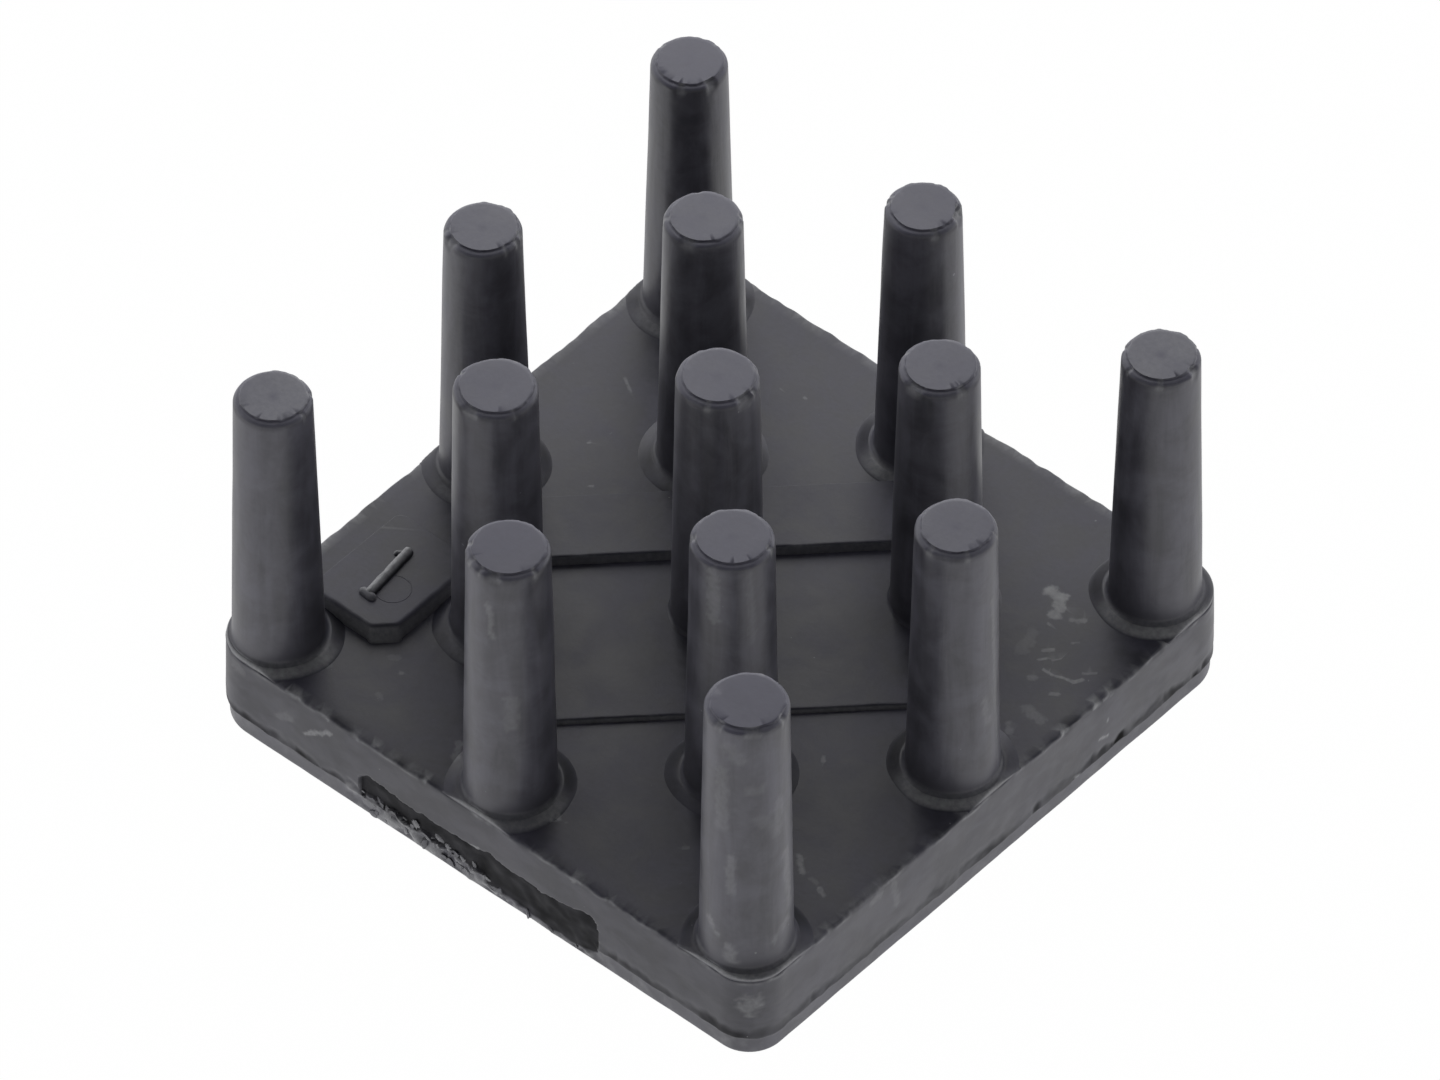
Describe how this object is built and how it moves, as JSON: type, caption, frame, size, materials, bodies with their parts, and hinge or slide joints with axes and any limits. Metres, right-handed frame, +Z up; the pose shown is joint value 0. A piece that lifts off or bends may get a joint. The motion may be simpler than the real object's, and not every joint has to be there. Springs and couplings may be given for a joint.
{
  "type": "pin fin heat sink",
  "caption": "Square moulded heat sink with tapered round pins standing on a flat base, for the top of a chip package.",
  "frame": {"origin": "middle of the flat underside, which seats on the chip", "axes": "+Z up out of the underside towards the pin tips, X and Y along the sides of the square base, with the cavity mark pad beside the corner between -X and -Y"},
  "size_m": [0.0166, 0.0166, 0.0102],
  "materials": {
    "filled_resin": "dull dark grey filled resin, lightly scuffed"
  },
  "bodies": {
    "root": {"heat_sink": "filled_resin"}
  },
  "joints": []
}
